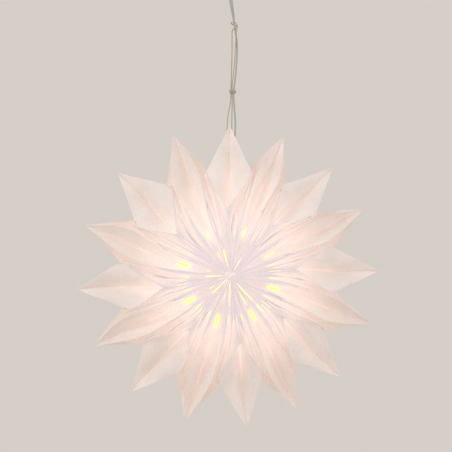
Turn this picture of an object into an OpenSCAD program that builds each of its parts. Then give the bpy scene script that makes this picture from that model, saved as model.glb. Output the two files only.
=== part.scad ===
/* [Star] */
// Distance from the middle of the star to its sixteen outer tips
tip_r = 222; // [200:1:240]
// Distance from the middle to the cut corners of the front and back folds
corner_r = 58; // [52:1:66]
// Width of one flattened paper pocket, which sets how deep the star is
pocket_w = 222; // [214:1:232]
// Depth of the pleat that is folded into the front and back of each pocket
pleat_w = 66; // [60:1:72]
// Distance of the front and back glue lines from the folds
front_glue = 22; // [19:0.5:25]
// Thickness of the paper
paper_t = 0.2; // [0.15:0.01:0.25]
// Width of a glue line
glue_w = 6; // [4:0.5:8]
// Thickness of the dried glue between two pockets
glue_t = 0.1; // [0.08:0.01:0.15]
// Width of a fold across its rounded edge
crease_w = 0.45; // [0.4:0.01:0.5]
// Distance from the middle at which the outer tips are no longer glued
glue_end_r = 200; // [190:1:205]
// How far the two layers of an outer tip stand apart
tip_split = 1.5; // [0.5:0.1:2]

/* [Opening of the pockets] */
// How far a pocket's face stands off the joint that has a front glue line
leaf_wide = 36; // [32:0.5:37]
// How far a pocket's face stands off the joint that is open in front
leaf_narrow = 21; // [18:0.5:22]
// Angle from the glued joint to the fold beside it
fold_glued_a = 4.2; // [3.8:0.1:4.6]
// Angle from the open joint to the fold beside it
fold_open_a = 8; // [7.5:0.1:8.5]
// Angle from the glued joint to the pleat's valley, near the middle
valley_in_a = 8.3; // [8:0.1:8.8]
// Angle from the glued joint to the pleat's valley, at its tip
valley_out_a = 14; // [13.5:0.1:14.3]
// Spread of the pleat beside the glued joint, for each unit of reach
flare_glued = 0.2; // [0.16:0.01:0.22]
// Spread of the pleat beside the open joint, for each unit of reach
flare_open = 0.1; // [0.06:0.01:0.12]
// How far the outer tips nod to the front or the back
tip_nod = 5; // [0:0.5:7]

/* [Hollow for the lamp] */
// Distance from the middle to the hollow's rim at mid depth
hollow_r = 80; // [76:0.5:84]
// Distance from the middle plane to the hollow's front and back ends
hollow_d = 70; // [66:0.5:74]
// Radius of the round hole where the pockets meet, front and back
hub_r = 6; // [5.8:0.1:7]
// Length of the thread knot in that hole
knot_l = 13; // [9:0.5:16]
// Opening left at the rim of the hollow between two pockets
rim_gap = 0.8; // [0:0.1:1.2]

/* [Lamp] */
// Radius of the bulb's globe
globe_r = 22.5; // [20:0.5:24]
// Distance of the globe's centre below the middle of the star
globe_drop = 22; // [20:0.5:26]
// Radius of the bulb's screw cap
cap_r = 6.9; // [6.8:0.05:7]
// Length of the bulb's screw cap
cap_l = 20; // [18:0.5:22]
// Outside radius of the lamp holder
holder_r = 13.5; // [13:0.1:15]
// Wall of the lamp holder
holder_wall = 1.4; // [1.2:0.1:1.8]
// Length of the lamp holder's body
holder_l = 42; // [40:0.5:46]
// Height of the lamp holder's cap
holder_cap_l = 14; // [12:0.5:16]
// Thickness of the brass screw shell
shell_t = 0.4; // [0.3:0.05:0.6]
// Clearance between two pieces that fit together
fit = 0.1; // [0.08:0.01:0.15]

/* [Flex and twine] */
// Width of the flat twin flex
flex_w = 5.4; // [5:0.1:5.6]
// Thickness of the flat twin flex
flex_t = 2.7; // [2.4:0.1:2.8]
// Diameter of the twine
twine_d = 1.6; // [1.2:0.1:1.7]
// Distance of the twine's hole from the middle of the star
twine_hole_r = 190; // [188:0.5:191]
// Height of the tie above the middle of the star
tie_h = 270; // [266:1:272]
// Number of turns in the tie
tie_turns = 3; // [2:1:4]

/* [Ceiling rose] */
// Distance from the ceiling to the middle of the star
drop = 470; // [460:1:500]
// Outside radius of the rose's cup
rose_r = 36; // [34:0.5:42]
// Height of the rose's cup
rose_h = 26; // [24:0.5:32]
// Wall of the rose's cup
rose_wall = 2; // [1.6:0.1:2.4]
// Thickness of the rose's base plate
base_t = 3; // [2.5:0.1:4]
// Distance between the two screw holes
screw_gap = 44; // [40:0.5:46]
// Radius of a screw hole
screw_r = 2.2; // [2:0.1:2.5]
// Outside radius of a cord grip
grip_r = 5; // [4.8:0.1:6]
// Length of a cord grip
grip_l = 12; // [10:0.5:14]

/* [Hidden] */

// Number of pockets, and the even angle from one joint to the next
pockets = 16;
step_a = 360 / pockets;
// The joint at the top, where the twine is threaded
top_joint = 4;
// Turn of each outer tip from its even place, as the star was fanned by hand
tip_turn = [2, 4, 1, 1, -0.5, -1, 2, 3, 5, 5, 5, 6, 7, 5, 3, 4];
// Turn of each joint from its even place, at the front of the star
hub_turn = [6, 5, 4, 3, 2, 5, 7, 9, 10, 9, 8, 8, 9, 8, 7, 7];
// The pockets whose front pleat gapes beside the middle
GAPING = [2, 4, 7, 9, 11, 13];

// Heights in the lamp, measured from the middle of the star
holder_low = 6;
mouth_top = holder_low + 8;
shell_low = mouth_top + fit;
web_low = shell_low + cap_l;
web_top = web_low + 2;
holder_top = holder_low + holder_l;
cap_top = holder_top + holder_cap_l;
// Bores of the lamp holder: its mouth and the seat of the screw shell
mouth_r = holder_r - holder_wall;
shell_r = cap_r + fit + shell_t;
// Bore of a cord grip, and its neck through the wall below it
grip_bore = flex_w / 2 + fit;
neck_r = grip_r - 1;
spigot_l = 3;
// The centre contact, a flat button on the web
contact_r = 2;
contact_t = 1.2;

// Ceiling rose: edge and skirt of the base plate, the hole for the mains
// wires beside the terminal block, the cup's floor
base_r = rose_r - rose_wall - fit;
skirt_d = 9;
wire_hole_r = 5;
wire_hole_y = 14;
cup_gap = 0.5;
floor_z = -rose_h + rose_wall;
// The terminal block under the base plate
BLOCK = [20, 12, 10];

// Middle line of the flex from the ceiling to the lamp: across, out, height
// above the middle of the star, then the turn of its broad side
FLEX_ROUTE = [
    [0, 0, drop - base_t - BLOCK[2], 0], [0, 0, drop - 26, 0],
    [0, 0, drop - 40, 0], [1, 0, 420, 0], [4, 0, 404, 5], [9, 0, 370, 85],
    [13, 0, 336, 90], [11.2, 0, 298, 90], [8.4, 0, 273, 90], [8.4, 0, 256, 90],
    [10.5, 0, 222, 90], [9.5, 0, 196, 90], [9, 0, 160, 90], [8, 0, 120, 90],
    [5, 0, 95, 90], [1.5, 0, 82, 90], [0, 0, 73, 90], [0, 0, 60, 90],
    [0, 0, web_top, 90]];
// Middle line of the twine: up from the tie, round the flex, down through the
// tie to the hole, round the paper's edge of it, and up to the tie again
TWINE_ROUTE = [
    [4, 1, 270.5], [4.2, 1, 280], [4.8, 0.3, 300], [5.6, -0.3, 330],
    [5.6, -1, 352], [6.2, -2.2, 360], [9.2, -4.2, 362.5], [12.8, -3, 364.5],
    [13.9, 0, 366], [12.8, 3, 367.3], [9.2, 4.4, 368.6], [5.6, 2.8, 370],
    [4.8, 0, 371.2], [6, -3, 372], [9.2, -5, 371.5], [12, -5.6, 369],
    [13.2, -5.8, 365.5], [12.6, -5.8, 361], [11.4, -4.8, 352], [10.8, -3.6, 337],
    [9.5, -2.4, 315], [7.5, -1.4, 295], [5.9, -0.6, 280], [5.7, -0.4, 266],
    [5.7, -0.2, 250], [5.2, 0, 225], [5, 0, 205], [5, 0, 195.5],
    [4.2, 0, 191.6], [1.7, 0, 190], [-0.8, 0, 191.6], [-1.7, 0, 195.5],
    [-1.7, 0, 212], [-1.2, 0, 225], [0.2, 0, 237], [2.4, 0.2, 249],
    [3.7, 0.4, 259], [4, 0.4, 264], [4, 0.4, 269]];
// Inner outline of the tie: its middle, and half its size across and out
TIE_MIDDLE = [6.5, 0];
TIE_HALF = [3.5, 3];
tie_ring_n = 14;
// Sides of the round strings, and rings from one route point to the next
flex_sides = 12;
flex_steps = 2;
string_sides = 8;

// Distances along the paper from the pocket's middle line
half_w = pocket_w / 2;
p_valley = half_w - pleat_w;
p_glue = half_w - front_glue;
half_glue = glue_w / 2;
// How far the middle of a face lies from its joint
face_off = (paper_t + glue_t) / 2;
half_crease = crease_w / 2;

// Where a face that is glued in front stands off widest
p_widest = p_glue * 0.54;
// Where the pocket's faces and pleats are drawn, from one joint to the next
GLUED_FACE = [0, half_glue, p_glue * 0.19, p_glue * 0.36, p_widest,
    p_glue * 0.76, p_glue - half_glue, p_glue + half_glue, half_w];
GLUED_PLEAT = [half_w, p_valley + pleat_w * 0.4, p_valley];
OPEN_PLEAT = [p_valley, p_valley + pleat_w * 0.4, half_w];
OPEN_FACE = [half_w, p_glue, p_glue * 0.76, p_glue * 0.54,
    p_glue * 0.3, half_glue, 0];
// The lines of one front side: which panel, which place in it
FRONT = concat(
    [for (i = [0 : len(GLUED_FACE) - 1]) [0, i]],
    [for (i = [0 : len(GLUED_PLEAT) - 1]) [1, i]],
    [for (i = [0 : len(OPEN_PLEAT) - 1]) [2, i]],
    [for (i = [0 : len(OPEN_FACE) - 1]) [3, i]]);
front_n = len(FRONT);
loop_n = 2 * front_n - 2;
// Places along each line, from the hollow's rim to the cut edge
REACH = [0, 0.26, 0.46, 0.62, 0.76, 0.88, 0.96, 1];
reach_n = len(REACH);

// Radii between which the joints turn from the hub's places to the tips'
turn_from = corner_r + front_glue;
turn_to = tip_r - p_valley;
// How much a face bends as it opens, for the glued and the open joint
bend_glued = 1.5;
bend_open = 1;
// How pointed the leaves are beside the glued and the open joint
point_glued = 1.1;
point_open = 0.9;
// Least share of the paper's width that still shows in the depth
least_depth = 0.2;

function mix(a, b, t) = a + (b - a) * t;
function clamp(x) = min(1, max(0, x));
function smooth(x) = clamp(x) * clamp(x) * (3 - 2 * clamp(x));
// A fixed unevenness from -1 to 1 for pocket or joint k
function uneven(k, salt) = sin(k * 137 + salt * 71);

// Radius of the cut edge at distance p from the pocket's middle line
function cut_r(p) = mix(tip_r, corner_r, p / half_w);
// Radius of the hollow's rim there
function rim_r(p) =
    p >= hollow_d ? hub_r : max(hub_r, hollow_r * sqrt(1 - pow(p / hollow_d, 2)));
// Distance p at which the rim lies at radius r
function rim_p(r) = r >= hollow_r ? 0 : hollow_d * sqrt(1 - pow(r / hollow_r, 2));
// How far the layers of a tip stand apart at radius r
function split(r) =
    tip_split * pow(clamp((r - glue_end_r) / (tip_r - glue_end_r)), 1.5);

// Share of its opening that a face has at radius r
function opened(p, r, bend) =
    pow(max(0, (r - rim_r(p)) / (cut_r(p) - rim_r(p))), bend);
// How far a face stands off the glued joint where it is cut
function leaf_glued(p, k) =
    leaf_wide * (1 + 0.02 * uneven(k, 1))
    * (p < p_widest ? pow(p / p_widest, point_glued)
        : pow((p_glue - p) / (p_glue - p_widest), point_glued));
// How far a face stands off the open joint where it is cut
function leaf_open(p, k) =
    p < p_valley
    ? leaf_narrow * (1 + 0.02 * uneven(k, 2)) * pow(p / p_valley, point_open)
    : mix(leaf_narrow * (1 + 0.02 * uneven(k, 2)), arc_l(fold_open_a, corner_r),
        pow((p - p_valley) / pleat_w, 0.6));
function arc_l(angle, r) = angle * r * PI / 180;

// The fold beside the glued joint, the valley, and the fold beside the open
// joint, as lengths across the pocket at radius r
function valley_x(r) = max(
    arc_l(mix(valley_in_a, valley_out_a,
        smooth((r - corner_r) / (cut_r(p_valley) - corner_r))), r),
    fold_glued_x(r) + crease_w);
function fold_glued_x(r) = r <= corner_r
    ? max(arc_l(fold_glued_a, r), face_off + half_crease)
    : arc_l(mix(valley_in_a, valley_out_a,
        smooth((r - corner_r) / (cut_r(p_valley) - corner_r))), r)
        - arc_l(valley_in_a - fold_glued_a, corner_r) - flare_glued * (r - corner_r);
function fold_open_x(r) = r <= corner_r
    ? arc_l(step_a, r) - max(arc_l(fold_open_a, r), face_off + half_crease)
    : valley_x(r) + arc_l(step_a - fold_open_a - valley_in_a, corner_r)
        + flare_open * (r - corner_r);

// The pleat narrows to this place: its valley, or the rim where that is cut
function gapes(k) = len(search(k, GAPING)) > 0;
function pleat_end(r, k) = gapes(k)
    ? mix(-half_w / 2, p_valley, smooth((r - corner_r / 2) / (corner_r / 2)))
    : max(p_valley, rim_p(r));

// Small opening at the rim, between two pockets at their open joint
function leak(p, r) = rim_gap / 2
    * smooth(1 - abs(rim_r(p) - 0.84 * hollow_r) / (0.14 * hollow_r))
    * smooth(1 - (r - rim_r(p)) / 12);

// Length across the pocket, from its glued joint, of place i in a panel
function across(panel, i, r, k) =
    panel == 0 ? glued_x(GLUED_FACE[i], r, k)
    : panel == 1 ? pleat_x(GLUED_PLEAT[i], r, k, fold_glued_x(r) + half_crease, -1)
    : panel == 2 ? pleat_x(OPEN_PLEAT[i], r, k, fold_open_x(r) - half_crease, 1)
    : arc_l(step_a, r) - open_x(OPEN_FACE[i], r, k);
function glued_x(p, r, k) =
    p == half_w ? fold_glued_x(r) - half_crease
    : face_off + split(r) + (abs(p - p_glue) <= half_glue || p <= half_glue
        ? 0 : leaf_glued(p, k) * opened(p, r, bend_glued));
function open_x(p, r, k) =
    p == half_w ? arc_l(step_a, r) - fold_open_x(r) - half_crease
    : face_off + split(r) + leak(p, r) + (p <= half_glue
        ? 0 : leaf_open(p, k) * opened(p, r, bend_open));
function pleat_x(p, r, k, fold_x, side) = mix(valley_x(r) + side * half_crease,
    fold_x, max(0, (p - pleat_end(r, k)) / (half_w - pleat_end(r, k))));

// Depth to the front of place i: the paper keeps its width as it opens
function depth(panel, i, r, k) =
    panel == 0 ? (i == len(GLUED_FACE) - 1 ? fold_d(r, fold_glued_x(r))
        : face_depth(GLUED_FACE, 0, i, r, k))
    : panel == 3 ? (i == 0 ? fold_d(r, fold_open_x(r))
        : face_depth(OPEN_FACE, 3, i, r, k))
    : pleat_depth(panel == 1 ? GLUED_PLEAT[i] : OPEN_PLEAT[i], r, panel);
function fold_d(r, fold_x) = kept(pleat_w, fold_x - valley_x(r)) + p_valley;
function pleat_depth(p, r, panel) = p_valley + kept(p - p_valley,
    (panel == 1 ? fold_glued_x(r) - valley_x(r) : fold_open_x(r) - valley_x(r))
        * (p - p_valley) / pleat_w);
// Depth left from a strip of paper that also goes sideways
function kept(width, aside) =
    sqrt(max(width * width - aside * aside, pow(least_depth * width, 2)));
function face_depth(places, panel, i, r, k) =
    places[i] == 0 ? 0
    : let (j = panel == 0 ? i - 1 : i + 1)
        face_depth(places, panel, j, r, k)
        + kept(places[i] - places[j], across(panel, i, r, k) - across(panel, j, r, k));

// Point n of the closed line round pocket k at radius r: length across, depth.
// The joint that is open in front is the one that is glued behind
function line_at(n) = n < front_n ? n : n - front_n + 1;
function section(n, r, k) =
    let (m = (n + loop_n) % loop_n, at = FRONT[line_at(m)])
    m < front_n
    ? [across(at[0], at[1], r, k), depth(at[0], at[1], r, k)]
    : [arc_l(step_a, r) - across(at[0], at[1], r, k), -depth(at[0], at[1], r, k)];
function unit(v) = v / max(norm(v), 0.000001);
// Step from the middle of the paper to its face, square to both neighbours
function paper_step(n, r, k) =
    let (a = section(n - 1, r, k), b = section(n, r, k), c = section(n + 1, r, k),
        one = unit(b - a), two = unit(c - b),
        sum = [-one[1] - two[1], one[0] + two[0]],
        share = 1 + one * two)
    sum / max(share, 0.35) * paper_t / 2;

// Angle of joint j at radius r
function joint_a(j, r) = step_a * j + mix(hub_turn[j % pockets], tip_turn[j % pockets],
    smooth((r - turn_from) / (turn_to - turn_from)));
// How far joint j leans to the front at radius r
function joint_nod(j, r) = j % pockets == top_joint ? 0
    : tip_nod * uneven(j % pockets, 3) * pow(clamp((r - turn_from) / (tip_r - turn_from)), 2);

// Joint j is glued in front where j is even: that side comes first in a pocket
function glued_joint(k) = k % 2 == 0 ? k : k + 1;
function open_joint(k) = k % 2 == 0 ? k + 1 : k;
function placed(x, d, r, k) =
    let (share = x / arc_l(step_a, r),
        a = mix(joint_a(glued_joint(k), r), joint_a(open_joint(k), r), share),
        nod = mix(joint_nod(glued_joint(k), r), joint_nod(open_joint(k), r), share))
    [r * cos(a), -d - nod, r * sin(a)];

// Points on one side of the paper, side 1 or -1
function paper_side(k, side) = [
    for (v = [0 : reach_n - 1])
    for (n = [0 : loop_n - 1])
    let (at = FRONT[line_at(n)],
        places = [GLUED_FACE, GLUED_PLEAT, OPEN_PLEAT, OPEN_FACE][at[0]],
        p = places[at[1]],
        r = mix(rim_r(p), cut_r(p), REACH[v]),
        s = section(n, r, k) + side * paper_step(n, r, k))
    placed(s[0], s[1], r, k)];

// Paper distance of place n in the closed line
function line_p(n) =
    let (at = FRONT[line_at((n + loop_n) % loop_n)])
    [GLUED_FACE, GLUED_PLEAT, OPEN_PLEAT, OPEN_FACE][at[0]][at[1]];

function turned(faces) = [for (f = faces) [f[2], f[1], f[0]]];
// Two triangles between lines n and n + 1, split along the short diagonal
function quad(a, b, c, d, n) = line_p(n + 1) > line_p(n)
    ? [[a, b, c], [a, c, d]]
    : [[a, b, d], [b, c, d]];
function sheet_faces() = [
    for (v = [0 : reach_n - 2])
    for (n = [0 : loop_n - 1])
    let (m = (n + 1) % loop_n, low = v * loop_n, high = low + loop_n)
    each quad(low + n, low + m, high + m, high + n, n)];
function rim_faces(at) = [
    for (n = [0 : loop_n - 1])
    let (m = (n + 1) % loop_n, back = at + reach_n * loop_n)
    each [[at + n, back + n, at + m], [at + m, back + n, back + m]]];
function pocket_faces() = concat(
    sheet_faces(),
    [for (f = turned(sheet_faces())) f + [1, 1, 1] * reach_n * loop_n],
    rim_faces(0),
    turned(rim_faces((reach_n - 1) * loop_n)));

module paper_pocket(k) {
    color("#f4e9e4")
    translate([0, 0, -drop])
    difference() {
        polyhedron(
            points = concat(paper_side(k, 1), paper_side(k, -1)),
            faces = k % 2 == 0 ? pocket_faces() : turned(pocket_faces()),
            convexity = 12);
        if (k == top_joint || k == top_joint - 1) twine_hole();
    }
}

// The punched hole in the two layers of the top tip
module twine_hole() {
    a = joint_a(top_joint, twine_hole_r);
    translate([twine_hole_r * cos(a), 0, twine_hole_r * sin(a)])
    rotate([0, 90, 0])
    cylinder(h = 4, r = twine_d / 2 + 0.3, center = true, $fn = 24);
}

// A thread knot fills the round hole at each end of the star's axis
module thread_knot(side) {
    knot_r = hub_r - fit / 2;
    round_l = knot_r / 4;
    color("#cfc6cf")
    translate([0, 0, -drop])
    rotate([side * 90, 0, 0])
    translate([0, 0, half_w - knot_l])
    rotate_extrude($fn = 48)
    polygon([[0, 0], [knot_r - round_l, 0], [knot_r, round_l],
        [knot_r, knot_l - 2 * round_l], [knot_r * 0.86, knot_l - round_l],
        [knot_r * 0.5, knot_l - 0.2 * round_l], [0, knot_l]]);
}

// Points where a smooth line through the route points passes
function route_at(route, i) = route[max(0, min(len(route) - 1, i))];
function on_route(route, t) =
    let (i = min(len(route) - 2, floor(t)), u = t - i,
        a = route_at(route, i - 1), b = route[i], c = route[i + 1],
        d = route_at(route, i + 2))
    (2 * b + (c - a) * u + (2 * a - 5 * b + 4 * c - d) * u * u
        + (3 * b - a - 3 * c + d) * u * u * u) / 2;
function route_points(route, steps) = [
    for (t = [0 : (len(route) - 1) * steps]) on_route(route, t / steps)];
// Direction of a string at its point i
function heading(line, i) = unit(
    line[min(len(line) - 1, i + 1)] - line[max(0, i - 1)]);
// The part of a vector that is square to a direction, one unit long
function square_to(v, along) = unit(v - along * (v * along));
// Side vectors carried along a string without twist
function carried(line, start) = [
    for (i = 0, s = square_to(start, heading(line, 0)); i < len(line);
        i = i + 1, s = square_to(s, heading(line, min(i, len(line) - 1)))) s];

// Points of an oval string round its middle line, half sizes a and b
function string_points(line, aside, a, b, sides) = [
    for (i = [0 : len(line) - 1])
    for (s = [0 : sides - 1])
    let (w = 360 * s / sides)
    line[i] + aside[i] * a * cos(w) + cross(heading(line, i), aside[i]) * b * sin(w)];
function string_faces(rings, sides, closed) = [
    for (i = [0 : rings - (closed ? 1 : 2)])
    for (s = [0 : sides - 1])
    let (t = (s + 1) % sides, low = i * sides, high = (i + 1) % rings * sides)
    each [[low + s, high + s, high + t], [low + s, high + t, low + t]]];
function end_faces(rings, sides) = [
    [for (s = [0 : sides - 1]) s],
    [for (s = [sides - 1 : -1 : 0]) (rings - 1) * sides + s]];

module string_along(line, aside, a, b, sides) {
    polyhedron(
        points = string_points(line, aside, a, b, sides),
        faces = concat(string_faces(len(line), sides, false),
            end_faces(len(line), sides)),
        convexity = 8);
}

module flex() {
    route = route_points(FLEX_ROUTE, flex_steps);
    line = [for (q = route) [q[0], q[1], q[2]]];
    aside = [for (i = [0 : len(line) - 1])
        square_to([cos(route[i][3]), sin(route[i][3]), 0], heading(line, i))];
    color("#b3b7ac")
    translate([0, 0, -drop])
    string_along(line, aside, flex_w / 2, flex_t / 2, flex_sides);
}

module twine() {
    line = TWINE_ROUTE;
    color("#cdbfa6")
    translate([0, 0, -drop])
    string_along(line, carried(line, [0, 1, 0]), twine_d / 2, twine_d / 2,
        string_sides);
}

// Turns of twine that bind the flex and the three strands beside it
module twine_tie() {
    pitch = twine_d * 0.94;
    color("#c5b69b")
    translate([TIE_MIDDLE[0], TIE_MIDDLE[1], tie_h - drop])
    for (turn = [0 : tie_turns - 1])
    translate([0, 0, (turn - (tie_turns - 1) / 2) * pitch])
    tie_ring();
}
module tie_ring() {
    line = [for (i = [0 : tie_ring_n - 1])
        let (w = 360 * i / tie_ring_n)
        [(TIE_HALF[0] + twine_d / 2) * bulged(cos(w)),
            (TIE_HALF[1] + twine_d / 2) * bulged(sin(w)), 0]];
    points = [for (i = [0 : tie_ring_n - 1])
        let (ahead = line[(i + 1) % tie_ring_n], behind = line[(i + tie_ring_n - 1) % tie_ring_n],
            out = unit(cross(ahead - behind, [0, 0, 1])))
        for (s = [0 : string_sides - 1])
        let (w = 360 * s / string_sides)
        line[i] + (out * cos(w) + [0, 0, sin(w)]) * twine_d / 2];
    polyhedron(
        points = points,
        faces = turned(string_faces(tie_ring_n, string_sides, true)),
        convexity = 4);
}
// Pushes a round outline out towards a rounded square
function bulged(x) = sign(x) * pow(abs(x), 0.7);

// One sealed lamp: glass globe, neck and screw cap
module bulb() {
    cap_low = mouth_top - 2;
    cap_high = cap_low + cap_l;
    color("#fff3d2")
    translate([0, 0, -drop])
    rotate_extrude($fn = 72)
    polygon(concat(
        [for (a = [-90 : 6 : 54]) [globe_r * cos(a), globe_r * sin(a) - globe_drop]],
        [[cap_r * 1.6, 1], [cap_r * 1.35, 5], [cap_r * 1.15, 9],
        [cap_r + 0.4, cap_low - 0.5], [cap_r, cap_low],
        [cap_r, cap_high - 2], [cap_r - 1.6, cap_high - 0.5],
        [contact_r, cap_high], [contact_r, web_low - contact_t - fit],
        [0, web_low - contact_t - fit]]));
}

module holder_body() {
    color("#f2efe9")
    translate([0, 0, -drop])
    difference() {
        translate([0, 0, holder_low])
        cylinder(h = holder_l, r = holder_r, $fn = 64);
        translate([0, 0, holder_low - 1])
        cylinder(h = mouth_top - holder_low + 1, r = mouth_r, $fn = 64);
        translate([0, 0, holder_low])
        cylinder(h = web_low - holder_low, r = shell_r + fit / 2, $fn = 64);
        translate([0, 0, web_top])
        cylinder(h = holder_l, r = mouth_r, $fn = 64);
    }
}
module screw_shell() {
    color("#c9a24a")
    translate([0, 0, shell_low - drop])
    difference() {
        cylinder(h = cap_l - fit, r = shell_r, $fn = 64);
        translate([0, 0, -1])
        cylinder(h = cap_l + 2, r = shell_r - shell_t, $fn = 64);
    }
}
module centre_contact() {
    color("#c9a24a")
    translate([0, 0, web_low - contact_t - drop])
    cylinder(h = contact_t, r = contact_r, $fn = 32);
}
// Domed cap with a rim that fits into the holder's body
module holder_cap() {
    color("#f2efe9")
    translate([0, 0, holder_top - drop])
    rotate_extrude($fn = 64)
    polygon([
        [mouth_r - fit, -spigot_l], [mouth_r - fit, 0], [holder_r, 0],
        [holder_r, holder_cap_l * 0.4], [holder_r * 0.9, holder_cap_l * 0.72],
        [holder_r * 0.68, holder_cap_l * 0.94], [holder_r * 0.5, holder_cap_l],
        [neck_r + fit, holder_cap_l], [neck_r + fit, holder_cap_l - spigot_l],
        [holder_r * 0.6, holder_cap_l * 0.7], [mouth_r - fit - holder_wall, 0],
        [mouth_r - fit - holder_wall, -spigot_l]]);
}
// Cord grip on a wall: its flange side down, its neck in the wall's hole
module cord_grip(neck_l) {
    color("#e6e3dc")
    rotate_extrude($fn = 48)
    polygon([
        [grip_bore, -neck_l], [neck_r, -neck_l], [neck_r, 0], [grip_r, 0],
        [grip_r, grip_l - 1], [grip_r - 1, grip_l], [grip_bore, grip_l]]);
}
module holder_grip() {
    translate([0, 0, cap_top - drop])
    cord_grip(spigot_l);
}

module rose_base() {
    color("#eeebe5")
    difference() {
        rotate_extrude($fn = 96)
        polygon([[0, -base_t], [0, 0], [base_r, 0],
            [base_r, -skirt_d], [base_r - rose_wall, -skirt_d],
            [base_r - rose_wall, -base_t]]);
        for (side = [-1, 1])
        translate([side * screw_gap / 2, 0, -base_t - 1])
        cylinder(h = base_t + 2, r = screw_r, $fn = 32);
        translate([0, wire_hole_y, -base_t - 1])
        cylinder(h = base_t + 2, r = wire_hole_r, $fn = 48);
    }
}
module rose_cup() {
    color("#f3f1ec")
    rotate_extrude($fn = 96)
    polygon([
        [rose_r - rose_wall, -cup_gap], [rose_r, -cup_gap],
        [rose_r, -rose_h + 5], [rose_r - 1.5, -rose_h + 1.5], [rose_r - 5, -rose_h],
        [neck_r + fit, -rose_h], [neck_r + fit, floor_z],
        [rose_r - 6, floor_z], [rose_r - rose_wall, floor_z + 4]]);
}
module rose_grip() {
    translate([0, 0, -rose_h])
    rotate([180, 0, 0])
    cord_grip(rose_wall);
}
module terminal_block() {
    color("#e9e4d8")
    translate([-BLOCK[0] / 2, -BLOCK[1] / 2, -base_t - BLOCK[2]])
    cube(BLOCK);
}

paper_pocket(0);  // pocket_01
paper_pocket(1);  // pocket_02
paper_pocket(2);  // pocket_03
paper_pocket(3);  // pocket_04
paper_pocket(4);  // pocket_05
paper_pocket(5);  // pocket_06
paper_pocket(6);  // pocket_07
paper_pocket(7);  // pocket_08
paper_pocket(8);  // pocket_09
paper_pocket(9);  // pocket_10
paper_pocket(10);  // pocket_11
paper_pocket(11);  // pocket_12
paper_pocket(12);  // pocket_13
paper_pocket(13);  // pocket_14
paper_pocket(14);  // pocket_15
paper_pocket(15);  // pocket_16
thread_knot(1);  // front_knot
thread_knot(-1);  // back_knot
bulb();
holder_body();
holder_cap();
holder_grip();
screw_shell();
centre_contact();
flex();
twine();
twine_tie();
rose_base();
rose_cup();
rose_grip();
terminal_block();
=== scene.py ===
"""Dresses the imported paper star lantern: folded paper, lit bulb, flex, twine and ceiling rose."""
import math

import bmesh
import bpy
from mathutils import Matrix, Vector


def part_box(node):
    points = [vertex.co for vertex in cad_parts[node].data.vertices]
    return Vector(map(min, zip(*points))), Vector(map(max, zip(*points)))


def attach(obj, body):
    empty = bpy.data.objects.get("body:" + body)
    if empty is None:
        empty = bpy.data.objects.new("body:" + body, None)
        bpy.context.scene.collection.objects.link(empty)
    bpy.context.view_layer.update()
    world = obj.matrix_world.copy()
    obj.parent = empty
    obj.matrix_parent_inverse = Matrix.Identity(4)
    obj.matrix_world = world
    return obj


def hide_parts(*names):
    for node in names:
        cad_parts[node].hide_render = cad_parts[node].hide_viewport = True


bl_info = {
    "name": "Paper star lantern",
    "version": (1, 0, 0),
    "blender": (4, 5, 0),
    "location": "3D View > Sidebar > Star lantern",
    "description": "Dresses the packed paper star lantern with folded paper, cords and light",
    "category": "Object",
}

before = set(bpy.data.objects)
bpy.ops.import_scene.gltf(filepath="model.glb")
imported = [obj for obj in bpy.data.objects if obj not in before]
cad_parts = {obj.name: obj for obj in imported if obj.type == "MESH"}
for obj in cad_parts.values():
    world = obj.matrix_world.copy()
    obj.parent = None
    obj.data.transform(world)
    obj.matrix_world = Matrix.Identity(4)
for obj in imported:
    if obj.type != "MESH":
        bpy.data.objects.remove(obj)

# The frame's nodes, in the groups that share a finish
POCKETS = ["pocket_%02d" % k for k in range(1, 17)]
LAMP_NODES = ("bulb", "screw_shell", "centre_contact", "holder_body", "holder_cap", "holder_grip")
ROSE_NODES = ("rose_base", "rose_cup", "rose_grip", "terminal_block")

# Sizes below are in metres, unless they say otherwise
# Height of the star's middle under the ceiling face, and the middle itself
STAR_Z = -0.47
MIDDLE = (0.0, 0.0, STAR_Z)
# Half the hollow round the lamp, across and out
HOLLOW = (0.080, 0.070)
# Pockets whose pleats gape in the middle, and how far out the lamp's glow is painted on their paper
GAPING = {"pocket_03": 0.030, "pocket_05": 0.040, "pocket_08": 0.036,
          "pocket_10": 0.036, "pocket_12": 0.034, "pocket_14": 0.050}

# Where each patch of painted light and shade on the paper begins and ends
# Lamplight fades outwards, and less so towards the front and back folds
GLOW_FADES = (0.070, 0.185)
GLOW_SHARES = (1.0, 0.35, 1.0)
# The painted lamplight turns cooler and dimmer on the folds far out from the middle plane and close to
# the knot
COOL_FOLDS = (0.068, 0.086)
COOL_HUB = (0.050, 0.062)
# Joints show as brighter lines near the middle plane, outside a radius: lamplight painted along them
# lifts the shade in their creases
JOINT_DEPTH = (0.0, 0.014)
JOINT_RADIUS = (0.085, 0.105)
# The lit slits: clear of the knot, and fading over the last bit of their reach
SLIT_START = (0.008, 0.012)
SLIT_END = (-0.006, 0.0)
# The lit streaks: radii between which they show, heights over the middle at which they fade
STREAK_START = (0.055, 0.061)
STREAK_END = (0.072, 0.078)
STREAK_TOP = (0.020, 0.030)
# How far outside the hollow each is lit, as shares of the hollow
SLIT_RIM = (1.0, 1.03)
STREAK_RIM = (1.03, 1.12)
# How far a fold takes the unlit paper towards its shadow, and what it leaves of the light
FOLD_SHADE = 0.08
FOLD_LEAVES = 0.94
# How far the painted lamplight at the hub turns as cool as on the folds
HUB_COOLS = 0.6
# How much more painted lamplight a joint gets
JOINT_LIGHT_GAIN = 1.13
# What is left of the streaks above their top
STREAK_LEFT = 0.2

# Colours that the settings don't hold: a fold's shadow, and the dark of the twine and the thread
FOLD_SHADOW = (0.66, 0.60, 0.66)
TWINE_DARK = (0.42, 0.33, 0.22)
THREAD_DARK = (0.62, 0.56, 0.64)
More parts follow.
